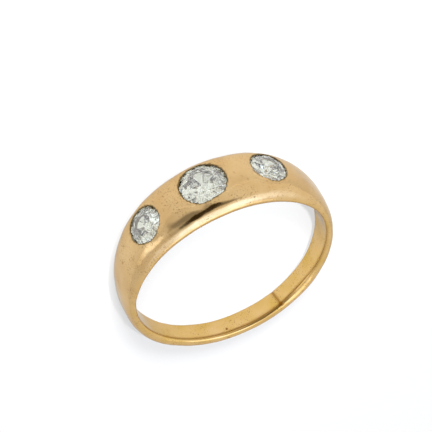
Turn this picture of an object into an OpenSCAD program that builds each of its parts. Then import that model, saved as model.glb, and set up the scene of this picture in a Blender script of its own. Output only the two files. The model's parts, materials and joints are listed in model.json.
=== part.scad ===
// Three stone ring: a tapered, domed band with three round stones set flush in its head.
// It lies on its side, tilted as it rests by itself, with the head towards -Y.
// Sizes are in millimetres. The shapes are first worked out in the ring's own frame,
// with the axis of the finger hole along Z, and then laid down by the module at_rest.

/* [Finger hole] */
// Diameter of the finger hole
inner_d = 17.6; // [16:0.1:21]

/* [Head] */
// Width of the band across the middle of the head
head_w = 5.7; // [5.4:0.1:8]
// Thickness of the band at the middle of the head
head_t = 2.15; // [2.1:0.05:3]
// Fullness of the head's section, from 2 for an ellipse to 4 for nearly square
head_fullness = 2.5; // [2:0.1:4]

/* [Shank] */
// Width of the band at the back of the finger
shank_w = 1.95; // [1.4:0.05:4]
// Thickness of the band at the back of the finger
shank_t = 1.16; // [0.9:0.02:2.2]
// Thickness of the band at the sides of the finger
side_t = 0.9; // [0.8:0.05:1.8]
// Fullness of the shank's section
shank_fullness = 3.2; // [2:0.1:4]
// How far the worn shank sits off the centre line of the head, upwards as it lies
shank_off = -0.12; // [-0.2:0.02:0.2]

/* [Stones] */
// Diameter of the middle stone
middle_d = 4.2; // [3:0.05:4.4]
// Diameter of each side stone
side_d = 3.4; // [2:0.05:3.7]
// Metal left between the middle and the left stone, along the crest of the head
left_gap = 2.6; // [1:0.1:4]
// Metal left between the middle and the right stone, along the crest of the head
right_gap = 2.5; // [1:0.1:4]
// How far the middle stone was set off the centre line of the band, upwards as it lies
middle_off = 0.02; // [-0.2:0.02:0.2]
// The same for the left stone
left_off = -0.1; // [-0.3:0.02:0.3]
// The same for the right stone
right_off = 0; // [-0.3:0.02:0.3]
// Thickness of a stone's girdle
girdle_t = 0.06; // [0.03:0.01:0.12]

/* [Cut of the stones] */
// Width of the table as a share of the stone
table_share = 0.52; // [0.4:0.01:0.65]
// Height of the crown as a share of the stone
crown_share = 0.135; // [0.1:0.01:0.18]
// Width of the culet, the small flat at the bottom, as a share of the stone
culet_share = 0.13; // [0.04:0.01:0.18]
// Slope of the main facets under the girdle, in degrees
pavilion_slope = 36.5; // [36:0.5:42]

/* [Settings] */
// Width of the gold that is burnished over a stone's edge
lip_over = 0.07; // [0.04:0.01:0.12]
// Thickness of that gold where it is thinnest
lip_t = 0.05; // [0.04:0.01:0.2]
// Slope of the burnished lip from upright, in degrees
lip_slope = 15; // [0:1:30]
// Clearance between a stone and its seat
seat_gap = 0.04; // [0.02:0.01:0.06]
// Width of the ledge that carries a stone
ledge_w = 0.85; // [0.5:0.05:1.2]

/* [Hidden] */

GOLD = [0.86, 0.69, 0.41];
DIAMOND = [0.88, 0.90, 0.92];

// Sections of the band, at even steps from the middle of the head to the back.
// Angle from the head, share of the head's extra width,
// share of the head's extra thickness, share of the shank's extra thickness
SECTIONS = [
    [  0, 1.000, 1.000, 0.00],
    [ 30, 0.900, 0.890, 0.00],
    [ 60, 0.670, 0.315, 0.00],
    [ 90, 0.285, 0.000, 0.00],
    [120, 0.070, 0.000, 0.62],
    [150, 0.000, 0.000, 1.00],
    [180, 0.000, 0.000, 1.00]
];
WIDTH = 1;
HEAD = 2;
SHANK = 3;
SECTION_STEP = SECTIONS[1][0];
LAST_SECTION = len(SECTIONS) - 1;

// The flat inside of the band is this share of its full width at the head and at the back,
// and the rest rounds its edges
HEAD_FLAT = 0.94;
SHANK_FLAT = 0.75;
// Height of the upright edge over the finger hole, as a share of the thickness
EDGE_SHARE = 0.04;
// Steps of the band's mesh round the finger, and across the dome
ROUND_STEPS = 96;
DOME_STEPS = 20;
// How far the mesh reaches into the finger hole before the hole is cut
INSIDE = 0.6;
// How far a cutter reaches past what it cuts
PAST = 1;
// Tilts between which the rest position is found, and the halvings that find it
TILT_RANGE = 20;
HALVINGS = 24;

inner_r = inner_d / 2;
crest_r = inner_r + head_t;
// Angle round the ring between the middles of two stones with a gap between them
function stone_angle(gap) = (middle_d / 2 + gap + side_d / 2) / crest_r * 180 / PI;

// Place of each stone: angle from the middle of the head, distance off the centre line, diameter
MIDDLE = [0, middle_off, middle_d];
LEFT = [-stone_angle(left_gap), left_off, side_d];
RIGHT = [stone_angle(right_gap), right_off, side_d];

function mix(low, high, share) = low + (high - low) * share;

// A value of the section table, which is mirrored past the head and the back
function table_value(i, column) =
    SECTIONS[i < 0 ? -i : i > LAST_SECTION ? 2 * LAST_SECTION - i : i][column];

// Smooth curve through four evenly spaced values, from b to c
function curve(a, b, c, d, u) =
    b + u * (c - a + u * (2 * a - 5 * b + 4 * c - d + u * (3 * (b - c) + d - a))) / 2;

function smooth_value(angle, column) =
    let (place = abs(angle) / SECTION_STEP, i = floor(place))
    curve(table_value(i - 1, column), table_value(i, column),
          table_value(i + 1, column), table_value(i + 2, column), place - i);

function half_width(angle) = mix(shank_w, head_w, smooth_value(angle, WIDTH)) / 2;
function thickness(angle) = side_t
    + (head_t - side_t) * smooth_value(angle, HEAD)
    + (shank_t - side_t) * smooth_value(angle, SHANK);
// Share of the way from the middle of the head, 0, to the back, 1
function way_back(angle) = (1 - cos(angle)) / 2;
function fullness(angle) = mix(head_fullness, shank_fullness, way_back(angle));
function middle(angle) = mix(0, shank_off, way_back(angle));

// Section of the band as pairs of distance across and height over the finger hole:
// a superellipse over a flat that lies inside the finger hole until the hole is cut
function section(angle) =
    let (
        w = half_width(angle),
        t = thickness(angle),
        power = 2 / fullness(angle),
        flat = mix(HEAD_FLAT, SHANK_FLAT, way_back(angle)) * w,
        points = concat(
            [[flat, -INSIDE], [flat, EDGE_SHARE * t]],
            [for (k = [1 : DOME_STEPS - 1])
                let (phase = 180 * k / DOME_STEPS)
                [w * sign(cos(phase)) * pow(abs(cos(phase)), power), t * pow(sin(phase), power)]],
            [[-flat, EDGE_SHARE * t], [-flat, -INSIDE]]
        )
    )
    [for (p = points) [p[0] + middle(angle), p[1]]];

function ring_point(angle, across, height) = [
    (inner_r + height) * sin(angle), -(inner_r + height) * cos(angle), across];

ROW = DOME_STEPS + 3;
BAND_POINTS = [
    for (i = [0 : ROUND_STEPS - 1])
        let (angle = 360 * i / ROUND_STEPS, from_head = angle > 180 ? 360 - angle : angle)
        for (p = section(from_head)) ring_point(angle, p[0], p[1])
];
BAND_FACES = [
    for (i = [0 : ROUND_STEPS - 1], j = [0 : ROW - 1])
        let (
            next_i = (i + 1) % ROUND_STEPS,
            next_j = (j + 1) % ROW,
            a = i * ROW + j,
            b = next_i * ROW + j,
            c = next_i * ROW + next_j,
            d = i * ROW + next_j
        )
        for (face = [[a, b, c], [a, c, d]]) face
];

// Height of the dome's surface over the ring's axis, seen along the axis of a stone
// at an angle, at a distance round the ring and a distance across the band
function dome_height(angle, along, across) =
    let (
        turn = asin(along / (inner_r + thickness(angle + atan(along / crest_r)))),
        there = angle + turn,
        share = min(1, abs(across - middle(there)) / half_width(there)),
        n = fullness(there)
    )
    (inner_r + thickness(there) * pow(1 - pow(share, n), 1 / n)) * cos(turn);

// Radii and heights of a stone's facet corners, from the top of its girdle
function table_r(d) = table_share * d / 2;
function crown_h(d) = crown_share * d;
function culet_r(d) = culet_share * d / 2;
function pavilion_h(d) = (d / 2 - culet_r(d)) * tan(pavilion_slope);
// Star facets reach halfway from the table to the girdle
function star_r(d) = (d / 2 + table_r(d) * cos(22.5)) / 2;
function star_h(d) = crown_h(d) * (d / 2 - star_r(d) * cos(22.5)) / (d / 2 - table_r(d));
// Lower girdle facets reach this share of the way from the girdle to the middle
LOWER_SHARE = 0.45;
function lower_r(d) = (1 - LOWER_SHARE) * d / 2;
function lower_h(d) = pavilion_h(d)
    * (d / 2 - lower_r(d) * cos(22.5)) / (d / 2 - culet_r(d) * cos(22.5));

// Radius of the opening inside the lip, and height of the lip's edge over the girdle:
// the upper girdle facets are about a fifth steeper than the crown's main facets
function lip_r(d) = d / 2 - lip_over;
function lip_h(d) = seat_gap + lip_over * 1.2 * crown_h(d) / (d / 2 - table_r(d));
// Radius of the groove that holds the girdle
function groove_r(d) = d / 2 + seat_gap;

// Height of a stone's girdle over the ring's axis: low enough for gold all round it,
// at the lip's edge and over the groove
function girdle_height(stone) =
    let (d = stone[2])
    min([for (
        edge = [[lip_r(d), lip_h(d)], [groove_r(d), seat_gap]],
        turn = [0 : 15 : 345]
    )
        dome_height(stone[0], edge[0] * cos(turn), stone[1] + edge[0] * sin(turn)) - edge[1]
    ]) - lip_t;

function circle_points(count, r, h, first) =
    [for (i = [0 : count - 1]) let (a = first + 360 * i / count) [r * cos(a), r * sin(a), h]];

// A round stone with a table, 32 crown facets, a girdle, 24 facets under it and a culet
module cut_stone(d) {
    mains = 8;
    ends = 2 * mains;
    table = 0;
    star = table + mains;
    top = star + mains;
    bottom = top + ends;
    lower = bottom + ends;
    culet = lower + mains;
    points = concat(
        circle_points(mains, table_r(d), crown_h(d), 0),
        circle_points(mains, star_r(d), star_h(d), 22.5),
        circle_points(ends, d / 2, 0, 0),
        circle_points(ends, d / 2, -girdle_t, 0),
        circle_points(mains, lower_r(d), -girdle_t - lower_h(d), 22.5),
        circle_points(mains, culet_r(d), -girdle_t - pavilion_h(d), 22.5)
    );
    main_faces = [for (i = [0 : mains - 1])
        let (
            before = (i + mains - 1) % mains,
            after = (i + 1) % mains,
            middle = 2 * i,
            corner = 2 * i + 1,
            next = (2 * i + 2) % ends
        )
        for (face = [
            [table + i, star + before, top + middle, star + i],
            [table + i, star + i, table + after],
            [star + i, top + middle, top + corner],
            [star + i, top + corner, top + next],
            [lower + i, bottom + corner, bottom + middle],
            [lower + i, bottom + next, bottom + corner],
            [culet + before, culet + i, lower + i, bottom + middle, lower + before]
        ]) face];
    girdle_faces = [for (i = [0 : ends - 1])
        let (next = (i + 1) % ends)
        [top + i, bottom + i, bottom + next, top + next]];
    ends_faces = [
        [for (i = [0 : mains - 1]) table + i],
        [for (i = [0 : mains - 1]) culet + mains - 1 - i]
    ];
    polyhedron(points, [for (face = concat(main_faces, girdle_faces, ends_faces))
        [for (k = [len(face) - 1 : -1 : 0]) face[k]]]);
}

// Hole for a stone: the opening inside the lip, the groove for the girdle,
// the sloping ledge under it, and a round hole through to the finger
module seat(stone) {
    d = stone[2];
    back_r = d / 2 - ledge_w;
    ledge_slope = lower_h(d) / (d / 2 - lower_r(d));
    top_h = head_t + PAST;
    bottom_h = girdle_height(stone) - inner_r + PAST;
    rotate_extrude($fn = 96)
        polygon([
            [0, top_h],
            [lip_r(d) + (top_h - lip_h(d)) * tan(lip_slope), top_h],
            [lip_r(d), lip_h(d)],
            [groove_r(d), seat_gap],
            [groove_r(d), -girdle_t],
            [back_r, -girdle_t - (groove_r(d) - back_r) * ledge_slope],
            [back_r, -bottom_h],
            [0, -bottom_h]
        ]);
}

// Turns a stone's axis outwards and puts the top of its girdle in its place in the head
module at_stone(stone) {
    rotate([90, 0, stone[0]]) translate([0, stone[1], girdle_height(stone)]) children();
}

// Rest position: the tilt at which the head and the back of the shank both touch the floor
function lowest(points, tilt) = min([for (p = points) p.z * cos(tilt) - p.y * sin(tilt)]);
HEAD_POINTS = [for (p = BAND_POINTS) if (p.y < -inner_r / 2) p];
BACK_POINTS = [for (p = BAND_POINTS) if (p.y > inner_r / 2) p];
function find_tilt(low, high, left) =
    let (middle = (low + high) / 2)
    left == 0 ? middle
    : lowest(HEAD_POINTS, middle) < lowest(BACK_POINTS, middle)
        ? find_tilt(middle, high, left - 1)
        : find_tilt(low, middle, left - 1);
rest_tilt = find_tilt(-TILT_RANGE, TILT_RANGE, HALVINGS);
rest_height = -lowest(BAND_POINTS, rest_tilt);
RESTING_Y = [for (p = BAND_POINTS) p.y * cos(rest_tilt) + p.z * sin(rest_tilt)];
rest_y = -(min(RESTING_Y) + max(RESTING_Y)) / 2;

module at_rest() {
    translate([0, rest_y, rest_height]) rotate([-rest_tilt, 0, 0]) children();
}

module band() {
    color(GOLD) at_rest() difference() {
        polyhedron(BAND_POINTS, BAND_FACES);
        cylinder(h = head_w + 2 * PAST, r = inner_r, center = true, $fn = 192);
        at_stone(MIDDLE) seat(MIDDLE);
        at_stone(LEFT) seat(LEFT);
        at_stone(RIGHT) seat(RIGHT);
    }
}

module middle_stone() {
    color(DIAMOND) at_rest() at_stone(MIDDLE) cut_stone(middle_d);
}

module left_stone() {
    color(DIAMOND) at_rest() at_stone(LEFT) cut_stone(side_d);
}

module right_stone() {
    color(DIAMOND) at_rest() at_stone(RIGHT) cut_stone(side_d);
}

band();
middle_stone();
left_stone();
right_stone();
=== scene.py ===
"""Three stone ring: a worn gold band with three old-cut diamonds set flush in its domed head.

The band is worked out in the ring's own frame, in millimetres: the axis of the finger hole is Z,
the middle of the head is towards -Y, and an angle is measured from there, round the finger.
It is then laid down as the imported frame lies, and put into its mesh in metres.
"""

import json

import bpy
import numpy as np
from mathutils import Matrix, Vector


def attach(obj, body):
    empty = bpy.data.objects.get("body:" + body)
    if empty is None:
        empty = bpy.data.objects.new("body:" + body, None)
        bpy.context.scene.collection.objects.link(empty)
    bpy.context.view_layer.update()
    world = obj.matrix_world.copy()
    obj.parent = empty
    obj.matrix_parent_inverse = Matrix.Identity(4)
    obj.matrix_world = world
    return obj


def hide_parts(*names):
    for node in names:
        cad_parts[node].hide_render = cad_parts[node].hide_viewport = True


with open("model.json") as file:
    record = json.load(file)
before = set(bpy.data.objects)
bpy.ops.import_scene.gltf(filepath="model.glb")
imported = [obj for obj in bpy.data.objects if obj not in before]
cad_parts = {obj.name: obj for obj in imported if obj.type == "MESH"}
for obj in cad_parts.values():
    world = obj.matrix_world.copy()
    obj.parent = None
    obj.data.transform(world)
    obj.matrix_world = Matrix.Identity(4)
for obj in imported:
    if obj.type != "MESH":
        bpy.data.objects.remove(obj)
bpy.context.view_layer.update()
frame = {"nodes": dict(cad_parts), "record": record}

MM = 0.001

# The finger hole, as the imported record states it
HOLE = next(m for m in frame["record"]["mounts"] if m["name"] == "finger_hole")
BORE = HOLE["dims"]["r_mm"]
CENTRE = np.array(HOLE["pos_m"]) / MM
AXIS_X = np.array([1.0, 0.0, 0.0])
AXIS_Z = np.array(HOLE["axis"]) / np.linalg.norm(HOLE["axis"])
AXIS_Y = np.cross(AXIS_Z, AXIS_X)
AXES = np.array([AXIS_X, AXIS_Y, AXIS_Z])
# The way across the band, in the ring's own frame
ACROSS = np.array([0.0, 0.0, 1.0])

# Driving sizes of the band, in millimetres, the powers of its sections' superellipses, and how
# far the middle of the shank lies off the head's centre line
HEAD_WIDTH = 5.7
HEAD_THICKNESS = 2.15
HEAD_FULLNESS = 2.5
SHANK_WIDTH = 1.95
SHANK_THICKNESS = 1.16
SIDE_THICKNESS = 0.9
SHANK_FULLNESS = 3.2
SHANK_OFF = -0.12

# Sections of the band at even steps of angle: share of the head's extra width,
# of the head's extra thickness and of the shank's extra thickness
SECTION_STEP = 30
WIDTH, HEAD, SHANK = 0, 1, 2
SECTIONS = np.array([
    [1.00, 1.000, 0.00],
    [0.90, 0.890, 0.00],
    [0.67, 0.315, 0.00],
    [0.285, 0.000, 0.00],
    [0.07, 0.000, 0.62],
    [0.00, 0.000, 1.00],
    [0.00, 0.000, 1.00],
])

# How far the corners of a stone's facets are off their places, in millimetres, and the seed of
# each stone's slips
CUT_SLIP = 0.018
CUT_SEEDS = {"middle_stone": 3, "left_stone": 15, "right_stone": 16}
# Points beyond this share of a stone's radius are its girdle's, and points this near its top, in
# millimetres, are its table's
GIRDLE_SHARE = 0.995
TABLE_NEAR = 0.001

# Columns of the band's grid: degrees between them over the head and behind it, how far the head
# reaches to each side, and over how many degrees the step changes
HEAD_STEP = 0.5
SHANK_STEP = 1.0
HEAD_REACH = 52
STEP_BLEND = 16
# The columns are counted up over this many even angles
COUNTING_ANGLES = 7201
# Rows of the grid over the dome, round each inner edge and inside
DOME_ROWS = 64
EDGE_ROWS = 6
INNER_ROWS = 55
# The dome starts this many degrees up from the inner edge, seen from the middle of the section
DOME_START = 12
# The flat inside as a share of the band's width, and the height from which the rounded edge
# runs down to it, which leaves a faint arris, each at the head and at the back
FLAT_SHARE = (0.90, 0.75)
ARRIS_HEIGHT = (0.0, 0.06)
# The corner that rounds the edge, as a share of the band's half width
CORNER_SHARE = 0.985

# Rows of the dome's grid between which a setting lies, nearest first, and the metal round a
# stone that it takes
SETTING_ROWS = (10, 53)
SETTING_MARGIN = 0.85

# Settings: how far the lip reaches over a stone, its slope from upright and the least height of
# its edge, the clearance round a stone, the width of the ledge under it and its girdle's height
LIP_OVER = 0.07
LIP_SLOPE = np.radians(15)
LIP_EDGE = 0.04
SEAT_GAP = 0.04
LEDGE = 0.85
GIRDLE = 0.06
# Rise for each millimetre inwards of a crown's edge, and fall of the ledge
CROWN_STEEPNESS = 0.674
LEDGE_STEEPNESS = 0.76
# Bevel round the hole behind a stone
BACK_BEVEL = 0.05
# Corner where a lip turns under its edge: its rings over and under the corner, and how far the
# lower one is set back
CORNER_OVER = 0.015
CORNER_UNDER = 0.005
CORNER_BACK = 0.01
# Radius that rounds the lip, the most of the edge's height that it takes, and its points
LIP_ROUND = 0.08
ROUND_SHARE = 0.6
ROUND_POINTS = 6
# How far the burnishing reaches over the dome, the share of the gold above the lip's edge that
# it pressed down, and how many points of the loop on each side it is evened over
BURNISH_REACH = 0.38
BURNISH_SHARE = 0.6
EVEN_REACH = 6
# The burnishing fades out over this share of the way in from the edge of the setting's mesh
FADE_SHARE = 0.15
# Rings of the mesh over the dome round a stone, the power that crowds them towards the lip, and
# the rings over the finger hole's wall behind it
SETTING_RINGS = 22
RING_CROWDING = 1.6
BACK_RINGS = 8
# Wear starts at a lip and has its full height this far from it
WEAR_REACH = 0.4
# Rounds of repeating that find a point on the dome, and a lip's mouth
DOME_ROUNDS = 5
MOUTH_ROUNDS = 8

# Where gold was pushed further over a stone: bearing round it in degrees from the way round
# the finger towards +Z, spread in degrees, how much further, and how far it stands up
BULGE_BEARING, BULGE_SPREAD, BULGE_OVER, BULGE_UP = range(4)
BULGES = {
    "middle_stone": [(100, 17, 0.17, 0.05), (75, 9, 0.05, 0.03), (185, 8, 0.02, 0.0)],
    "right_stone": [(345, 12, 0.06, 0.03), (125, 10, 0.04, 0.0)],
    "left_stone": [(60, 10, 0.04, 0.02)],
}
# Unevenness of a lip's edge: height in millimetres and waves round the stone
LIP_WAVES = [(0.02, 3), (0.02, 8), (0.025, 17), (0.02, 29)]
# Oxide round a stone, with painted shade of the gap between lip and stone: how far it reaches
# over the dome, how much that varies, and the two numbers of waves round the stone by which it
# varies
OXIDE_AND_SHADE_REACH = 0.08
OXIDE_AND_SHADE_VARIES = 0.05
OXIDE_AND_SHADE_WAVES = (9, 23)
# How dark the oxide and painted shade are from the top to the foot of the lip's rounded edge,
# and at each ring from there to the finger hole; down the wall, under the lip and in the hole
# behind the stone the darkening is partly oxide, partly painted shade of the hollows
LIP_OXIDE_AND_SHADE = (0.8, 0.6)
WALL_OXIDE_AND_SHADE = [0.7, 0.8, 0.8, 0.8, 0.8, 0.6, 0.4, 0.1, 0]

# Unevenness of the worn gold: length and height of its waves in millimetres, how many waves are
# summed, and the shares of the length between which each wave's own is
WEAR_WAVES = [(3.2, 0.012), (1.1, 0.0035), (0.45, 0.001)]
WAVE_COUNT = 24
WAVE_SPREAD = (0.7, 1.5)

# Pits and dents: angle from the head in degrees, distance across in millimetres, whether it is
# inside, and half width and depth in millimetres
PITS = [
    (168.5, 0.30, True, 0.09, 0.07),
    (168.3, 0.80, False, 0.08, 0.06),
    (56.4, 0.15, False, 0.10, 0.05),
    (-11.7, 0.75, False, 0.08, 0.03),
    (-14.5, 0.35, False, 0.07, 0.03),
    (-19.0, 1.30, False, 0.07, 0.03),
    (-17.0, 0.95, False, 0.06, 0.025),
    (21.0, 0.55, False, 0.08, 0.02),
    (132.0, -0.15, True, 0.10, 0.012),
    (127.0, 0.10, True, 0.08, 0.012),
    (-112.0, -0.30, True, 0.10, 0.015),
]
# A pit this deep is fully stained
STAINED_DEPTH = 0.05
# Brown line along the near edge of the finger hole: its place as a share of the half
# width, its height over the hole and its strength, each at the head and at the back, and its
# half width
LINE_ACROSS = (0.965, 0.78)
LINE_HEIGHT = (0.22, 0.03)
LINE_STRENGTH = (0.35, 0.7)
LINE_WIDTH = 0.13
# Where the line is smeared: angle, spread and how far towards the edge
SMEAR_ANGLE = 192
SMEAR_SPREAD = 10
SMEAR_SHIFT = 0.15
# Where the near side of the shank is rubbed to a slope: angle, spread, depth at the finger
# hole, height over it that it reaches, and the share of the half width over which it sets in
RUB_ANGLE = 217
RUB_SPREAD = 15
RUB_DEPTH = 0.17
RUB_HEIGHT = 0.95
RUB_SHARE = 0.6
# The gold turns paler from the finger hole outwards over this height, at the head and at the back
YELLOW_REACH = (0.65, 1.4)
# Seam where the shank was cut and soldered: angle, lean in degrees per millimetre across, half
# width, depth, height over the finger hole up to which it shows, and how stained it is
SEAM_ANGLE = -158.2
SEAM_LEAN = 0.7
SEAM_WIDTH = 0.15
SEAM_DEPTH = 0.03
SEAM_HEIGHT = 0.25
SEAM_STAIN = 0.75
# Columns are closer together round the seam and the two pits that lie side by side: the angles,
# how far on each side of them, and the step between columns there, in degrees
FINE_SPOTS = [SEAM_ANGLE, 168.4]
FINE_REACH = 1.2
FINE_STEP = 0.25
# Millimetres of the surface in one unit of its UV map
UV_UNIT = 10


def smooth_step(x):
    """0 below 0, 1 above 1, and 3x^2 - 2x^3 between."""
    x = np.clip(x, 0, 1)
    return x * x * (3 - 2 * x)


def section_share(angle, column):
    """A column of the section table at an angle in degrees: the smooth curve through its rows
    (Catmull-Rom), mirrored past the head and past the back."""
    last = len(SECTIONS) - 1
    place = np.abs((angle + 180) % 360 - 180) / SECTION_STEP
    row = np.floor(place).astype(int)
    u = place - row

    def at(i):
        i = np.abs(i)
        return SECTIONS[np.where(i > last, 2 * last - i, i), column]

    a, b, c, d = at(row - 1), at(row), at(row + 1), at(row + 2)
    return b + u * (c - a + u * (2 * a - 5 * b + 4 * c - d + u * (3 * (b - c) + d - a))) / 2


def half_width(angle):
    """Half the band's width: the shank's, plus the section's share of the head's extra width."""
    return (SHANK_WIDTH + (HEAD_WIDTH - SHANK_WIDTH) * section_share(angle, WIDTH)) / 2


def thickness(angle):
    """The side's thickness plus the section's shares of the head's and the shank's extra."""
    return (
        SIDE_THICKNESS
        + (HEAD_THICKNESS - SIDE_THICKNESS) * section_share(angle, HEAD)
        + (SHANK_THICKNESS - SIDE_THICKNESS) * section_share(angle, SHANK)
    )


def from_head(head, back, angle):
    """A value that turns from the head's to the one at the back as a cosine."""
    return head + (back - head) * (1 - np.cos(np.radians(angle))) / 2


def fullness(angle):
    """Power of the section's superellipse."""
    return from_head(HEAD_FULLNESS, SHANK_FULLNESS, angle)


def middle(angle):
    """How far the middle of the section lies off the head's centre line."""
    return from_head(0.0, SHANK_OFF, angle)


def dome(angle, across):
    """Height over the finger hole of the superellipse |z/w|^n + |h/t|^n = 1."""
    n = fullness(angle)
    share = np.clip(np.abs(across - middle(angle)) / half_width(angle), 0, 1)
    return thickness(angle) * (1 - share ** n) ** (1 / n)


def ring_point(angle, across, height):
    """Point at an angle round the finger, a distance across and a height over the finger hole."""
    turn = np.radians(angle)
    radius = BORE + height
    return np.stack([radius * np.sin(turn), -radius * np.cos(turn), across], axis=-1)


def column_angles():
    """Angles of the grid's columns: HEAD_STEP apart over the head, growing to SHANK_STEP behind,
    and FINE_STEP apart at the seam and a pit. The steps are counted up over even angles, and a
    column lies wherever the count passes its number."""
    fine = np.linspace(-180, 180, COUNTING_ANGLES)
    step = HEAD_STEP + (SHANK_STEP - HEAD_STEP) * smooth_step((np.abs(fine) - HEAD_REACH) / STEP_BLEND)
    for spot in FINE_SPOTS:
        near = 1 - smooth_step((np.abs(fine - spot) - FINE_REACH) / FINE_REACH)
        step = step + (FINE_STEP - step) * near
    count = np.concatenate([[0], np.cumsum(np.diff(fine) / step[1:])])
    columns = round(count[-1])
    return np.interp(np.arange(columns) * count[-1] / columns, count, fine)


def rub(angle):
    """How deep the near side is rubbed at the finger hole: a bell in the angle."""
    return RUB_DEPTH * np.exp(-((angle % 360 - RUB_ANGLE) / RUB_SPREAD) ** 2)


def band_grid(angles):
    """Distance across, height and place round the section of each point of the band's grid.

    Over the dome the points lie on the superellipse in an even fan of directions from the
    section's middle. Each inner edge is a quadratic curve to the flat inside, which it meets at
    a faint arris. The near side is rubbed back most at the finger hole and less with height."""
    angle = angles[:, None]
    w, t, n = half_width(angle), thickness(angle), fullness(angle)
    flat = from_head(*FLAT_SHARE, angle) * w
    arris = from_head(*ARRIS_HEIGHT, angle)
    fan = np.radians(np.linspace(DOME_START, 180 - DOME_START, DOME_ROWS))[None, :]
    reach = (np.abs(np.cos(fan)) ** n + np.abs(np.sin(fan)) ** n) ** (-1 / n)
    across, height = w * reach * np.cos(fan), t * reach * np.sin(fan)
    around = (np.pi / 2 - fan) * w
    u = (np.arange(1, EDGE_ROWS + 1) / (EDGE_ROWS + 1))[None, :]
    edge_across = ((1 - u) ** 2 * -across[:, -1:] + 2 * u * (1 - u) * CORNER_SHARE * w
                   + u ** 2 * flat)
    edge_height = (1 - u) ** 2 * height[:, -1:] + 2 * u * (1 - u) * arris
    edge_around = (np.pi / 2 - np.radians(DOME_START * (1 - u))) * w
    inner = flat * np.linspace(-1, 1, INNER_ROWS)[None, :]
    across = np.hstack([across, -edge_across, inner, edge_across[:, ::-1]])
    height = np.hstack([height, edge_height, inner * 0, edge_height[:, ::-1]])
    around = np.hstack([around, -edge_around, inner, edge_around[:, ::-1]])
    low = np.clip(1 - height / RUB_HEIGHT, 0, 1)
    across = across - rub(angle) * low * smooth_step(across / (RUB_SHARE * w))
    return across + middle(angle), height, around


def mesh_points(mesh):
    """Points of a mesh, in millimetres."""
    points = np.empty(3 * len(mesh.vertices), np.float32)
    mesh.vertices.foreach_get("co", points)
    return points.reshape(-1, 3).astype(float) / MM


class Stone:
    """Place of a stone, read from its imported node: the angle of its axis round the finger,
    how far it was set off the band's centre line, its radius, and the height of its girdle
    over the ring's axis."""

    def __init__(self, node):
        points = (mesh_points(frame["nodes"][node].data) - CENTRE) @ AXES.T
        heart = points.mean(axis=0)
        turn = np.arctan2(heart[0], -heart[1])
        self.node = node
        self.angle = np.degrees(turn)
        self.along = np.array([np.cos(turn), np.sin(turn), 0])
        self.out = np.array([np.sin(turn), -np.cos(turn), 0])
        self.off = (points[:, 2].min() + points[:, 2].max()) / 2
        reach = np.hypot(points @ self.along, points[:, 2] - self.off)
        self.radius = reach.max()
        self.girdle = (points @ self.out)[reach > GIRDLE_SHARE * self.radius].max()

    def plane(self, points):
        """Ring points as distances from the stone's axis: round the finger, and across."""
        return points @ self.along, points[..., 2] - self.off

    def point(self, x, y, height):
        """Ring point from distances from the stone's axis and a height over its girdle."""
        return (x[..., None] * self.along + (self.girdle + height)[..., None] * self.out
                + (self.off + y)[..., None] * ACROSS)

    def dome_over(self, x, y):
        """Height of the dome over the girdle, and its angle: the angle is the stone's plus
        the arc sine of x over the radius there, found by repeating."""
        turn = np.arcsin(x / (BORE + HEAD_THICKNESS))
        for _ in range(DOME_ROUNDS):
            radius = BORE + dome(self.angle + np.degrees(turn), self.off + y)
            turn = np.arcsin(x / radius)
        return radius * np.cos(turn) - self.girdle, self.angle + np.degrees(turn)

    def bore_over(self, x):
        """Height of the finger hole's wall over the girdle."""
        return np.sqrt(BORE ** 2 - x ** 2) - self.girdle


def loop_round(columns, rows):
    """Grid places round a block of columns and rows, anticlockwise seen from outside where
    rows run from the far side of the band, rows[0], to the near side, rows[1]."""
    (left, right), (far, near) = columns, rows
    step = 1 if near > far else -1
    i = np.arange(left, right)
    j = np.arange(far, near, step)
    return np.concatenate([
        np.stack([i, np.full_like(i, far)], 1),
        np.stack([np.full_like(j, right), j], 1),
        np.stack([np.arange(right, left, -1), np.full_like(i, near)], 1),
        np.stack([np.full_like(j, left), np.arange(near, far, -step)], 1),
    ])


def rounded_corner(start, corner, end, steps):
    """Points of the quadratic curve from start to end that a corner pulls."""
    u = np.linspace(0, 1, steps)[:, None, None]
    return (1 - u) ** 2 * start + 2 * u * (1 - u) * corner + u ** 2 * end


def bulge(stone, bearing, column):
    """A column of the bulge table round a stone: each row is a bell in the bearing."""
    total = 0 * bearing
    for row in BULGES[stone.node]:
        off = np.degrees(bearing) - row[BULGE_BEARING]
        off = (off + 180) % 360 - 180
        total = total + row[column] * np.exp(-(off / row[BULGE_SPREAD]) ** 2)
    return total


def lip_radius(stone, bearing):
    """Radius of the opening inside a lip: the even one, less its bulges and small waves."""
    waves = sum(high * np.sin(count * bearing + stone.angle * count) for high, count in LIP_WAVES)
    return stone.radius - LIP_OVER - bulge(stone, bearing, BULGE_OVER) - np.abs(waves)


def evened(values):
    """Numbers round a loop, each the mean of those near it."""
    return np.mean([np.roll(values, turn) for turn in range(-EVEN_REACH, EVEN_REACH + 1)], axis=0)


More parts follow.
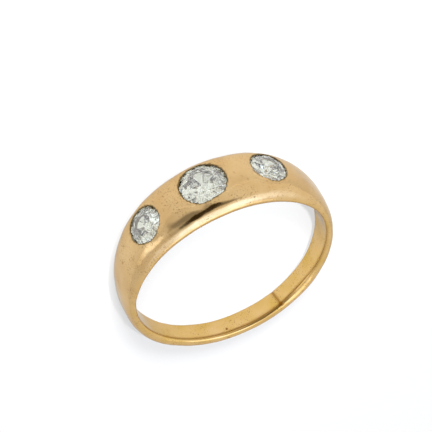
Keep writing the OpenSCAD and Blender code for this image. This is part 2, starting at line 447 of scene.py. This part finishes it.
def setting(stone, outer, inner):
    """The metal round a stone as rings of points, from a loop on the dome to a loop in the
    finger hole: over the dome, which is burnished down towards the stone, round the lip's
    edge, down the cut wall, under the lip, round the groove, down the ledge, through the hole
    behind the stone and over the finger hole's wall. A ring is a radius and a height at each
    bearing round the stone, and between two loops the points run in straight lines.

    Returns the points, how dark each is with oxide and painted shade, and how free each is to
    carry the wear."""
    x_outer, y_outer = stone.plane(outer)
    x_inner, y_inner = stone.plane(inner)
    bearing = np.arctan2(y_outer, x_outer)
    cos, sin = np.cos(bearing), np.sin(bearing)

    # The mouth, where the dome turns down into the lip, and how far the dome settled there
    lip = lip_radius(stone, bearing)
    lip_height = SEAT_GAP + (stone.radius - lip) * CROWN_STEEPNESS
    raised = bulge(stone, bearing, BULGE_UP)
    mouth = lip
    for _ in range(MOUTH_ROUNDS):
        height, _ = stone.dome_over(mouth * cos, mouth * sin)
        pressed = BURNISH_SHARE * np.maximum(height - lip_height - LIP_EDGE, 0)
        edge_height = np.maximum(height - pressed + raised, lip_height + LIP_EDGE)
        mouth = lip + (edge_height - lip_height) * np.tan(LIP_SLOPE)
    even_mouth = evened(mouth)
    settled = evened(edge_height - height)

    def worked(distance):
        """How far the gold moved up at a distance from the mouth: a bell."""
        return settled * np.exp(-(np.maximum(distance, 0) / BURNISH_REACH) ** 2)

    # Over the dome, with rings closer together towards the lip
    u = (1 - (1 - np.linspace(0, 1, SETTING_RINGS + 1)[1:]) ** RING_CROWDING)[:, None]
    start = mouth + LIP_ROUND
    x = x_outer * (1 - u) + start * cos * u
    y = y_outer * (1 - u) + start * sin * u
    dome_radius = np.hypot(x, y)
    distance = dome_radius - even_mouth
    height, _ = stone.dome_over(x, y)
    fade = smooth_step(u / FADE_SHARE)
    dome_rings = np.stack([dome_radius, height + worked(distance) * fade], -1)
    turned = np.arctan2(y, x)

    def ring(radius, height):
        """A ring whose radius and height are each one number, or one at each bearing."""
        return np.stack(np.broadcast_arrays(radius + 0 * mouth, height + 0 * mouth), -1)

    # Round the lip's edge and down the cut wall
    drop = np.minimum(LIP_ROUND, ROUND_SHARE * (edge_height - lip_height))
    corner = ring(mouth, edge_height)
    below = ring(mouth - drop * np.tan(LIP_SLOPE), edge_height - drop)
    lip_curve = rounded_corner(dome_rings[-1], corner, below, ROUND_POINTS)[1:]
    groove = stone.radius + SEAT_GAP
    back = stone.radius - LEDGE
    ledge_drop = (groove - back) * LEDGE_STEEPNESS
    back_height = -GIRDLE - ledge_drop
    rim = stone.bore_over((back + BACK_BEVEL) * cos)
    wall = [
        ring(lip, lip_height + CORNER_OVER),
        ring(lip + CORNER_BACK, lip_height - CORNER_UNDER),
        ring(groove, SEAT_GAP),
        ring(groove, -GIRDLE),
        ring((groove + back) / 2, -GIRDLE - ledge_drop / 2),
        ring(back, back_height),
        ring(back, (back_height + rim) / 2),
        ring(back, rim + BACK_BEVEL),
        ring(back + BACK_BEVEL, rim),
    ]
    tube = np.concatenate([lip_curve, np.array(wall)])
    radius = np.concatenate([dome_rings[..., 0], tube[..., 0]])
    height = np.concatenate([dome_rings[..., 1], tube[..., 1]])
    turned = np.concatenate([turned, np.broadcast_to(bearing, tube.shape[:2])])

    # Over the finger hole's wall to the inner loop
    u = np.linspace(0, 1, BACK_RINGS + 1)[1:-1, None]
    x_bore = (back + BACK_BEVEL) * cos * (1 - u) + x_inner * u
    y_bore = (back + BACK_BEVEL) * sin * (1 - u) + y_inner * u
    x = np.concatenate([radius * np.cos(turned), x_bore])
    y = np.concatenate([radius * np.sin(turned), y_bore])
    height = np.concatenate([height, stone.bore_over(x_bore)])
    points = stone.point(x, y, height)

    # Oxide and painted shade of the gap fade over the dome as a bell whose reach two waves vary
    slow, fast = OXIDE_AND_SHADE_WAVES
    uneven = np.sin(slow * bearing + stone.angle) * np.sin(fast * bearing)
    oxide_and_shade_reach = OXIDE_AND_SHADE_REACH + OXIDE_AND_SHADE_VARIES * uneven
    dark = np.concatenate([
        np.exp(-((dome_radius - mouth) / oxide_and_shade_reach) ** 2),
        np.linspace(*LIP_OXIDE_AND_SHADE, len(lip_curve))[:, None] + 0 * mouth,
        np.array(WALL_OXIDE_AND_SHADE)[:, None] + 0 * mouth,
        0 * x_bore,
    ])
    free = np.concatenate([smooth_step(distance / WEAR_REACH), 0 * tube[..., 0], u + 0 * x_bore])
    return points, dark, free


def waves(points, length, seed):
    """Smooth unevenness of about -1 to 1: the sum of sines of about one length that run in
    random directions with random phases."""
    random = np.random.default_rng(seed)
    total = np.zeros(len(points))
    for _ in range(WAVE_COUNT):
        way = random.normal(size=3)
        way *= 2 * np.pi / length * random.uniform(*WAVE_SPREAD) / np.linalg.norm(way)
        total += np.sin(points @ way + random.uniform(0, 2 * np.pi))
    return total / np.sqrt(WAVE_COUNT)


def ring_place(points):
    """Angle from the head in degrees, and height over the finger hole, of ring points."""
    angle = np.degrees(np.arctan2(points[..., 0], -points[..., 1]))
    return angle, np.hypot(points[..., 0], points[..., 1]) - BORE


def seam_share(points):
    """A bell of 1 along the seam, on the inside of the shank and its rounded edges."""
    angle, height = ring_place(points)
    off = np.radians(angle - SEAM_ANGLE - SEAM_LEAN * points[:, 2]) * BORE
    return np.exp(-(off / SEAM_WIDTH) ** 2) * (height < SEAM_HEIGHT)


def pit_share(points, angle, across, inside, half):
    """A bell of 1 in the middle of a pit, which falls with the distance in all directions."""
    height = 0.0 if inside else dome(angle, across)
    return np.exp(-np.sum((points - ring_point(angle, across, height)) ** 2, 1) / half ** 2)


def relief(points):
    """How far the worn surface stands over the even one, in millimetres: the sum of the waves
    of wear, less the seam and the pits."""
    total = sum(high * waves(points, length, seed) for seed, (length, high) in enumerate(WEAR_WAVES))
    total = total - SEAM_DEPTH * seam_share(points)
    for *place, depth in PITS:
        total = total - depth * pit_share(points, *place)
    return total


def line_share(points):
    """How strong the brown line is: a bell across it, which is wider where it is smeared."""
    angle, height = ring_place(points)
    smear = np.exp(-((angle % 360 - SMEAR_ANGLE) / SMEAR_SPREAD) ** 2)
    edge = middle(angle) + from_head(*LINE_ACROSS, angle) * half_width(angle)
    edge = edge + SMEAR_SHIFT * smear - rub(angle)
    off = np.hypot(points[:, 2] - edge, height - from_head(*LINE_HEIGHT, angle))
    width = LINE_WIDTH * (1 + smear)
    return np.exp(-(off / width) ** 2) * from_head(*LINE_STRENGTH, angle)


def stain(points):
    """How brown the gold is: along the brown line, on the seam and in the stained bottoms of the pits.
    """
    total = line_share(points) + SEAM_STAIN * seam_share(points)
    for *place, depth in PITS:
        total = total + depth / STAINED_DEPTH * pit_share(points, *place)
    return np.clip(total, 0, 1)


def normals(points, faces):
    """Outward unit normal at each point, from the quads that meet there."""
    corners = points[faces]
    across = np.cross(corners[:, 2] - corners[:, 0], corners[:, 3] - corners[:, 1])
    total = np.zeros_like(points)
    for corner in range(4):
        np.add.at(total, faces[:, corner], across)
    return total / np.linalg.norm(total, axis=1, keepdims=True)


def linked(name, data):
    """A new object of the scene, at the origin."""
    made = bpy.data.objects.new(name, data)
    bpy.context.scene.collection.objects.link(made)
    return made


def mesh_object(name, points, faces, place, attributes):
    """A smooth mesh object from quads: points in the ring's frame in millimetres, a place of
    each point on the surface for its UV map, and named numbers at each point. It is laid down
    as the frame lies, and worn flat where it would reach a hair's breadth under the floor. A
    quad that spans the back, where the way round starts again, has its corners on one side."""
    mesh = bpy.data.meshes.new(name)
    row_points = (points @ AXES + CENTRE) * MM
    row_points[:, 2] = np.maximum(row_points[:, 2], 0)
    mesh.from_pydata(row_points.tolist(), [], faces.tolist())
    mesh.polygons.foreach_set("use_smooth", np.ones(len(faces), bool))
    for key, values in attributes.items():
        attribute = mesh.attributes.new(key, "FLOAT", "POINT")
        attribute.data.foreach_set("value", values.astype(np.float32))
    corners = place[faces]
    round_trip = 2 * np.pi * BORE
    jump = np.ptp(corners[..., 0], axis=1) > round_trip / 2
    corners[..., 0] += round_trip * (jump[:, None] & (corners[..., 0] < 0))
    uv = mesh.uv_layers.new(name="surface")
    uv.data.foreach_set("uv", (corners / UV_UNIT).astype(np.float32).ravel())
    mesh.update()
    mesh.validate()
    return linked(name, mesh)


def gold_band(stones):
    """The whole band as one closed surface: a grid round the finger and round the section,
    with a block of it taken out at each stone, inside and out, and joined by the setting."""
    angles = column_angles()
    across, height, around = band_grid(angles)
    columns, rows = across.shape
    angle = np.broadcast_to(angles[:, None], across.shape)
    index = np.arange(columns * rows).reshape(columns, rows)
    points = [ring_point(angle, across, height).reshape(-1, 3)]
    place = [np.stack([np.radians(angle) * BORE, around], -1).reshape(-1, 2)]
    dark = [np.zeros(columns * rows)]
    free = [np.ones(columns * rows)]
    inner = [1 - smooth_step(height / from_head(*YELLOW_REACH, angle)).ravel()]

    # Rows of the block that a setting takes, over the dome and in the middle of the inside,
    # where they run the other way
    near, far = SETTING_ROWS
    inner_far = DOME_ROWS + EDGE_ROWS + (INNER_ROWS - 1 - (far - near)) // 2
    inner_near = inner_far + far - near
    keep = np.ones((columns, rows), bool)
    faces = []
    total = columns * rows
    for stone in stones:
        reach = np.degrees((stone.radius + SETTING_MARGIN) / (BORE + HEAD_THICKNESS))
        block = np.searchsorted(angles, [stone.angle - reach, stone.angle + reach])
        outer_loop = loop_round(block, (far, near))
        inner_loop = loop_round(block, (inner_far, inner_near))
        keep[block[0]:block[1], near:far] = False
        keep[block[0]:block[1], inner_far:inner_near] = False
        outer = index[outer_loop[:, 0], outer_loop[:, 1]]
        inside = index[inner_loop[:, 0], inner_loop[:, 1]]
        # The setting's points, its oxide with painted shade, and how free each point is to wear
        made, oxide_and_shade, loose = setting(stone, points[0][outer], points[0][inside])
        rings, count = made.shape[:2]
        new = total + np.arange(rings * count).reshape(rings, count)
        total += rings * count
        ids = np.concatenate([outer[None], new, inside[None]])
        after = np.roll(ids, -1, axis=1)
        faces.append(np.stack([ids[:-1], after[:-1], after[1:], ids[1:]], -1).reshape(-1, 4))
        points.append(made.reshape(-1, 3))
        turn, _ = ring_place(made)
        place.append(np.stack([np.radians(turn) * BORE, made[..., 2]], -1).reshape(-1, 2))
        dark.append(oxide_and_shade.ravel())
        free.append(loose.ravel())
        inner.append((np.arange(rings) > rings - BACK_RINGS).repeat(count).astype(float))

    # The grid's own quads, and the points that the faces use
    after = np.roll(index, -1, axis=0)
    quads = np.stack([
        index, np.roll(index, -1, axis=1), np.roll(after, -1, axis=1), after
    ], -1)[keep]
    faces = np.concatenate([quads.reshape(-1, 4)] + faces)
    used, faces = np.unique(faces, return_inverse=True)
    faces = faces.reshape(-1, 4)
    points = np.concatenate(points)[used]
    worn = relief(points) * np.concatenate(free)[used]
    attributes = {
        # Oxide round the stones, with painted shade of the gaps and hollows
        "oxide_and_shade": np.concatenate(dark)[used],
        "inside": np.concatenate(inner)[used],
        "stain": stain(points),
    }
    return mesh_object(
        "gold_band", points + normals(points, faces) * worn[:, None], faces,
        np.concatenate(place)[used], attributes
    )


def hand_cut(stone, seed):
    """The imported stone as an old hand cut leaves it: the corners between its facets, but for
    those of its table and its girdle, are each off their places by a small random slip."""
    mesh = frame["nodes"][stone.node].data.copy()
    mesh.name = "cut_" + stone.node
    points = mesh_points(mesh)
    ring_points = (points - CENTRE) @ AXES.T
    height = ring_points @ stone.out
    reach = np.hypot(*stone.plane(ring_points))
    free = (reach < GIRDLE_SHARE * stone.radius) & (height < height.max() - TABLE_NEAR)
    random = np.random.default_rng(seed)
    points += random.normal(0, CUT_SLIP, points.shape) * free[:, None]
    mesh.vertices.foreach_set("co", (points * MM).astype(np.float32).ravel())
    mesh.polygons.foreach_set("use_smooth", np.zeros(len(mesh.polygons), bool))
    mesh.materials.clear()
    mesh.update()
    return linked(mesh.name, mesh)


def linear(hex_colour):
    """Linear RGBA of an sRGB hex colour."""
    srgb = np.array([int(hex_colour[i:i + 2], 16) for i in (0, 2, 4)]) / 255
    rgb = np.where(srgb <= 0.04045, srgb / 12.92, ((srgb + 0.055) / 1.055) ** 2.4)
    return (*rgb.tolist(), 1.0)


def add(tree, kind, inputs=None, **settings):
    """Adds a node with its settings. An input is given by name or number, as a value or as
    the socket that feeds it."""
    node = tree.nodes.new(kind)
    for key, value in settings.items():
        setattr(node, key, value)
    for key, value in (inputs or {}).items():
        if isinstance(value, bpy.types.NodeSocket):
            tree.links.new(value, node.inputs[key])
        else:
            node.inputs[key].default_value = value
    return node


# Patches in the gold: their size in millimetres and their detail, the value between them and in
# them, and the part of the noise over which one turns into the other. Specks show only in the
# speckled parts.
PATCHES = {
    "outside": (2.5, 4, 0.0, 1.0, 0.3, 0.7),
    "inside": (1.6, 5, 0.0, 1.0, 0.3, 0.7),
    "specks": (0.11, 2, 0.0, 0.8, 0.58, 0.7),
    "speckled": (1.8, 2, 0.0, 1.0, 0.42, 0.6),
    "sheen": (0.8, 4, 0.1, 0.18, 0.3, 0.7),
}
# Colours of the gold between its patches and in them, and of what lies over it
GOLD = {"outside": ("D5B683", "C8A46F"), "inside": ("D7B47B", "CCA85A")}
SPECK = "6B4A20"
STAIN = "8C5E1E"
# Dark brown of the oxide and painted shade round the stones
OXIDE_AND_SHADE = "403416"
# Tint of the gold where it is seen at a grazing angle
EDGE_TINT = "DEDCDA"
# How much duller than the rest fully stained gold is
STAIN_DULLS = 0.25
# Fine scratches: how many there are in a millimetre round the finger and across the band, how far
# they lean from the way round it in radians, and their depth in millimetres. They are coarser
# than real ones, so that they show.
SCRATCHES_ROUND = 0.4
SCRATCHES_ACROSS = 6.4
SCRATCH_LEAN = 0.12
SCRATCH_DEPTH = 0.002
# Orange peel: size and depth in millimetres
PEEL_SIZE = 0.35
PEEL_DEPTH = 0.0015


def worn_gold():
    """18 carat yellow gold, cast, polished and then worn for a century: a warm pale metal with
    a soft, slightly uneven sheen and fine scratches, yellower inside, with dark oxide and painted
    shade in the corners round the stones, a brown line along the near edge of the finger hole, and
    brown stains on the seam and in the pits."""
    material = bpy.data.materials.new("worn_gold")
    material.use_nodes = True
    tree = material.node_tree
    shader = tree.nodes["Principled BSDF"]
    place = add(tree, "ShaderNodeTexCoord").outputs["Object"]
    inside, stained, oxide_and_shade_share = (
        add(tree, "ShaderNodeAttribute", attribute_name=name).outputs["Fac"]
        for name in ("inside", "stain", "oxide_and_shade")
    )
    patches = {}
    for name, (size, detail, between, within, start, end) in PATCHES.items():
        noise = add(tree, "ShaderNodeTexNoise", {
            "Vector": place, "Scale": 1 / (size * MM), "Detail": detail
        }).outputs["Fac"]
        patches[name] = add(tree, "ShaderNodeMapRange", {
            "Value": noise, "From Min": start, "From Max": end, "To Min": between, "To Max": within
        }).outputs["Result"]

    # Patches of paler and deeper gold, then the yellower inside, fine dark specks here and
    # there, stain, and oxide with painted shade round the stones, each over what comes before it
    gold = {}
    for side, (pale, deep) in GOLD.items():
        gold[side] = add(tree, "ShaderNodeMix", {
            "Factor": patches[side], "A": linear(pale), "B": linear(deep)
        }, data_type="RGBA").outputs["Result"]
    specks = add(tree, "ShaderNodeMath", {
        0: patches["specks"], 1: patches["speckled"]
    }, operation="MULTIPLY").outputs["Value"]
    colour = gold["outside"]
    for share, over in [
        (inside, gold["inside"]),
        (specks, linear(SPECK)),
        (stained, linear(STAIN)),
        # Oxide and painted shade of the gaps and hollows round the stones
        (oxide_and_shade_share, linear(OXIDE_AND_SHADE)),
    ]:
        colour = add(tree, "ShaderNodeMix", {
            "Factor": share, "A": colour, "B": over
        }, data_type="RGBA").outputs["Result"]
    tree.links.new(colour, shader.inputs["Base Color"])
    shader.inputs["Metallic"].default_value = 1.0
    shader.inputs["Specular Tint"].default_value = linear(EDGE_TINT)

    # Sheen: polished, with duller rubbed patches, and dull where it is stained
    sheen = add(tree, "ShaderNodeMath", {
        0: stained, 1: STAIN_DULLS, 2: patches["sheen"]
    }, operation="MULTIPLY_ADD").outputs["Value"]
    tree.links.new(sheen, shader.inputs["Roughness"])

    # Fine scratches that run mostly round the finger, over a faint orange peel
    peel = add(tree, "ShaderNodeTexNoise", {
        "Vector": place, "Scale": 1 / (PEEL_SIZE * MM), "Detail": 3.0
    }).outputs["Fac"]
    peeled = add(tree, "ShaderNodeBump", {
        "Height": peel, "Distance": PEEL_DEPTH * MM, "Strength": 1.0
    }).outputs["Normal"]
    along = add(tree, "ShaderNodeMapping", {
        "Vector": add(tree, "ShaderNodeUVMap", uv_map="surface").outputs["UV"],
        "Rotation": (0, 0, SCRATCH_LEAN),
        "Scale": (SCRATCHES_ROUND * UV_UNIT, SCRATCHES_ACROSS * UV_UNIT, 1.0)
    }).outputs["Vector"]
    scratches = add(tree, "ShaderNodeTexNoise", {
        "Vector": along, "Scale": 1.0, "Detail": 3.0
    }).outputs["Fac"]
    scratched = add(tree, "ShaderNodeBump", {
        "Height": scratches, "Distance": SCRATCH_DEPTH * MM, "Strength": 1.0, "Normal": peeled
    }).outputs["Normal"]
    tree.links.new(scratched, shader.inputs["Normal"])
    return material


def diamond():
    """Diamond, cut and polished: clear with a faint green-grey tint, and with strong crisp
    returns from its back facets."""
    material = bpy.data.materials.new("diamond")
    material.use_nodes = True
    shader = material.node_tree.nodes["Principled BSDF"]
    shader.inputs["Base Color"].default_value = linear("D8DCCB")
    shader.inputs["Roughness"].default_value = 0.02
    shader.inputs["IOR"].default_value = 2.417
    shader.inputs["Transmission Weight"].default_value = 1.0
    return material


# Half the side of the floor in metres, and the light that it gives by itself
FLOOR_HALF = 1.0
FLOOR_LIGHT = 0.605


def floor():
    """A plain pale floor of opal acrylic, lit from inside, which keeps the ring's own shadow
    faint: a matt grey that gives an even white light."""
    low, high = -FLOOR_HALF, FLOOR_HALF
    mesh = bpy.data.meshes.new("floor")
    mesh.from_pydata([(low, low, 0), (high, low, 0), (high, high, 0), (low, high, 0)],
                     [], [(0, 1, 2, 3)])
    made = linked("floor", mesh)
    material = bpy.data.materials.new("lit_acrylic")
    material.use_nodes = True
    shader = material.node_tree.nodes["Principled BSDF"]
    shader.inputs["Base Color"].default_value = linear("5C5C5C")
    shader.inputs["Roughness"].default_value = 1.0
    shader.inputs["Specular IOR Level"].default_value = 0.0
    shader.inputs["Emission Color"].default_value = linear("FFFFFF")
    shader.inputs["Emission Strength"].default_value = FLOOR_LIGHT
    mesh.materials.append(material)


def direction(azimuth, elevation):
    """Unit vector at an azimuth from -Y towards +X and an elevation, in degrees."""
    a, e = np.radians(azimuth), np.radians(elevation)
    return np.array([np.sin(a) * np.cos(e), -np.cos(a) * np.cos(e), np.sin(e)])


# Colour and light of the white tent round the ring, and how much more light it gives at -X than
# above the ring
TENT_COLOUR = "FFFFFF"
TENT_LIGHT = 1.02
TENT_SLOPE = 0.16
# Soft shapes in the tent: azimuth from -Y towards +X and elevation of the middle, half width and
# half height of the full part, and how far it fades, all in degrees. The last number is the
# light that a softbox adds, or the share of the tent's light that the room takes the place of.
# Softboxes with a cooler light, which pale the gold
COOL_BOXES = [
    (-162, 67, 13, 15, 8, 1.65),
    (-125, 60, 9, 12, 12, 0.8),
    (160, 62, 14, 10, 14, 0.7),
    (-118, 46, 10, 9, 18, 0.5),
    (74, 26, 10, 20, 8, 0.5),
]
# Softboxes as white as the tent
WHITE_BOXES = [
    (74, 24, 8, 23, 7, 0.6),
    (88, 12, 6, 12, 6, 0.35),
    (-172, 44, 9, 6, 8, 0.9),
]
# Openings, which give the dark streak and the shades on the head
OPENINGS = [
    (-4, 64, 10, 9, 4, 1.0),
    (14, 70, 11, 10, 4, 1.0),
    (38, 75, 8, 8, 5, 0.98),
    (-38, 69, 10, 5, 4, 0.75),
    (28, 48, 10, 9, 14, 0.68),
    (41, 28, 2, 14, 5, 0.35),
    (60, 72, 10, 7, 12, 0.35),
]
# Colour of the cool light, and colour and light of the dim warm room behind the openings
BOX_COLOUR = "A6C4FF"
ROOM_COLOUR = "FFD37C"
ROOM_LIGHT = 0.05

# The key light, which gives the faint shadow behind the shank: azimuth, elevation and distance
# in metres, side in metres and power in watts
KEY_PLACE = (-9, 27, 0.6)
KEY_SIDE = 0.25
KEY_POWER = 24.0
# A spot on the floor round the head, which lifts the head's own shadow: its place and power, its
# cone's angle in degrees, its lamp's radius and the point that it is aimed at, in metres
SPOT_PLACE = (-13, 58, 0.3)
SPOT_POWER = 13.0
SPOT_ANGLE = 6.5
SPOT_RADIUS = 0.01
SPOT_AIM = (-0.003, -0.001, 0.0)


def aimed(data, place, target=(0.0, 0.0, 0.0)):
    """Puts a light at an azimuth, elevation and distance from a point, facing it. The gold and
    the stones don't mirror it."""
    azimuth, elevation, distance = place
    towards = direction(azimuth, elevation)
    turn = Vector([float(v) for v in towards]).to_track_quat("Z", "Y").to_matrix().to_4x4()
    made = linked(data.name, data)
    made.matrix_world = Matrix.Translation((towards * distance + target).tolist()) @ turn
    made.visible_glossy = False
    made.visible_transmission = False


def lights():
    """A soft key light from in front of the head, and the spot."""
    key = bpy.data.lights.new("key_light", "AREA")
    key.size = KEY_SIDE
    key.energy = KEY_POWER
    aimed(key, KEY_PLACE)
    spot = bpy.data.lights.new("head_spot", "SPOT")
    spot.energy = SPOT_POWER
    spot.spot_size = np.radians(SPOT_ANGLE)
    spot.spot_blend = 1.0
    spot.shadow_soft_size = SPOT_RADIUS
    aimed(spot, SPOT_PLACE, SPOT_AIM)


def studio():
    """Soft studio light: a white tent that is a little brighter towards -X, with softboxes and
    with openings that show a dim room, each a soft ellipse round a direction."""
    world = bpy.data.worlds.new("studio")
    bpy.context.scene.world = world
    world.use_nodes = True
    tree = world.node_tree
    tree.nodes.remove(tree.nodes["Background"])
    looking = add(tree, "ShaderNodeTexCoord").outputs["Generated"]

    def shape(azimuth, elevation, half_width, half_height, fade, full):
        """Full inside an ellipse round a direction, fading to 0 outside it. The distance from
        its middle is 1 at the outer edge, and only the half of the tent round the middle
        counts."""
        towards = direction(azimuth, elevation)
        side = direction(azimuth + 90, 0)
        upright = np.cross(side, towards)
        half_across = np.sin(np.radians(half_width + fade))
        half_upwards = np.sin(np.radians(half_height + fade))
        across, upwards, ahead = (
            add(tree, "ShaderNodeVectorMath", {
                0: looking, 1: way.tolist()
            }, operation="DOT_PRODUCT").outputs["Value"]
            for way in (side / half_across, upright / half_upwards, towards)
        )
        off = add(tree, "ShaderNodeCombineXYZ", {"X": across, "Y": upwards}).outputs["Vector"]
        distance = add(tree, "ShaderNodeVectorMath", {0: off}, operation="LENGTH").outputs["Value"]
        small_half = min(half_width, half_height)
        edge = add(tree, "ShaderNodeMapRange", {
            "Value": distance, "From Min": 1.0, "From Max": small_half / (small_half + fade),
            "To Max": full
        }, interpolation_type="SMOOTHSTEP").outputs["Result"]
        near = add(tree, "ShaderNodeMath", {
            0: ahead, 1: 0.0
        }, operation="GREATER_THAN").outputs["Value"]
        return add(tree, "ShaderNodeMath", {
            0: edge, 1: near
        }, operation="MULTIPLY").outputs["Value"]

    # The tent, the softboxes that add to it, and the openings that show the room instead
    slope = add(tree, "ShaderNodeVectorMath", {
        0: looking, 1: (-TENT_SLOPE * AXIS_X).tolist()
    }, operation="DOT_PRODUCT").outputs["Value"]
    strength = add(tree, "ShaderNodeMath", {
        0: slope, 1: TENT_LIGHT
    }, operation="ADD").outputs["Value"]
    light = add(tree, "ShaderNodeBackground", {
        "Color": linear(TENT_COLOUR), "Strength": strength
    }).outputs["Background"]
    for colour, boxes in ((BOX_COLOUR, COOL_BOXES), (TENT_COLOUR, WHITE_BOXES)):
        for box in boxes:
            glow = add(tree, "ShaderNodeBackground", {
                "Color": linear(colour), "Strength": shape(*box)
            }).outputs["Background"]
            light = add(tree, "ShaderNodeAddShader", {0: light, 1: glow}).outputs["Shader"]
    room = add(tree, "ShaderNodeBackground", {
        "Color": linear(ROOM_COLOUR), "Strength": ROOM_LIGHT
    }).outputs["Background"]
    for opening in OPENINGS:
        light = add(tree, "ShaderNodeMixShader", {
            0: shape(*opening), 1: light, 2: room
        }).outputs["Shader"]
    tree.links.new(light, tree.nodes["World Output"].inputs["Surface"])


# The camera: side of the picture in pixels and of the sensor in millimetres. Then, relative to
# the ring: azimuth from the head towards +X, elevation over the ring's plane and roll in degrees,
# distance in millimetres, focal length in pixels, and the pixel of the picture at which the
# middle of the ring shows
FRAME_PIXELS = 432
SENSOR = 36.0
CAMERA_AZIMUTH = 7.8
CAMERA_ELEVATION = 37.5
CAMERA_ROLL = 150.3
CAMERA_DISTANCE = 356.0
FOCAL_PIXELS = 4200
RING_AT_PIXEL = (225.7, 258.7)
# Nearest and furthest distance that the camera sees, in metres
CLIP_NEAR = 0.01
CLIP_FAR = 10


def camera():
    """A long lens looking down on the ring. The camera is turned, without a shift, so that the
    middle of the ring shows at its pixel."""
    back = direction(CAMERA_AZIMUTH, CAMERA_ELEVATION) @ AXES
    right = np.cross(AXIS_Z, back)
    right /= np.linalg.norm(right)
    up = np.cross(back, right)
    roll = np.radians(CAMERA_ROLL)
    right, up = (np.cos(roll) * right + np.sin(roll) * up,
                 np.cos(roll) * up - np.sin(roll) * right)
    place = (CENTRE + back * CAMERA_DISTANCE) * MM
    half_frame = FRAME_PIXELS / 2
    aside = (RING_AT_PIXEL[0] - half_frame) / FOCAL_PIXELS
    below = (RING_AT_PIXEL[1] - half_frame) / FOCAL_PIXELS
    back = back + right * aside - up * below
    back /= np.linalg.norm(back)
    right = np.cross(up, back)
    right /= np.linalg.norm(right)
    up = np.cross(back, right)
    data = bpy.data.cameras.new("camera")
    data.sensor_width = SENSOR
    data.lens = FOCAL_PIXELS * SENSOR / FRAME_PIXELS
    data.clip_start = CLIP_NEAR
    data.clip_end = CLIP_FAR
    made = linked("camera", data)
    made.matrix_world = Matrix([
        [right[0], up[0], back[0], place[0]],
        [right[1], up[1], back[1], place[1]],
        [right[2], up[2], back[2], place[2]],
        [0, 0, 0, 1],
    ])
    bpy.context.scene.camera = made


set_stones = [Stone(node) for node in CUT_SEEDS]
band = gold_band(set_stones)
band.data.materials.append(worn_gold())
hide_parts("band")
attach(band, "root")

cut_diamond = diamond()
for stone in set_stones:
    made = hand_cut(stone, CUT_SEEDS[stone.node])
    made.data.materials.append(cut_diamond)
    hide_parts(stone.node)
    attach(made, "root")

floor()
studio()
lights()
camera()

# Bounces, enough for light to find its way through the stones and round the inside of the band
STONE_BOUNCES = 24
GOLD_BOUNCES = 12
scene = bpy.context.scene
scene.view_settings.view_transform = "Standard"
scene.cycles.max_bounces = STONE_BOUNCES
scene.cycles.transmission_bounces = STONE_BOUNCES
scene.cycles.glossy_bounces = GOLD_BOUNCES
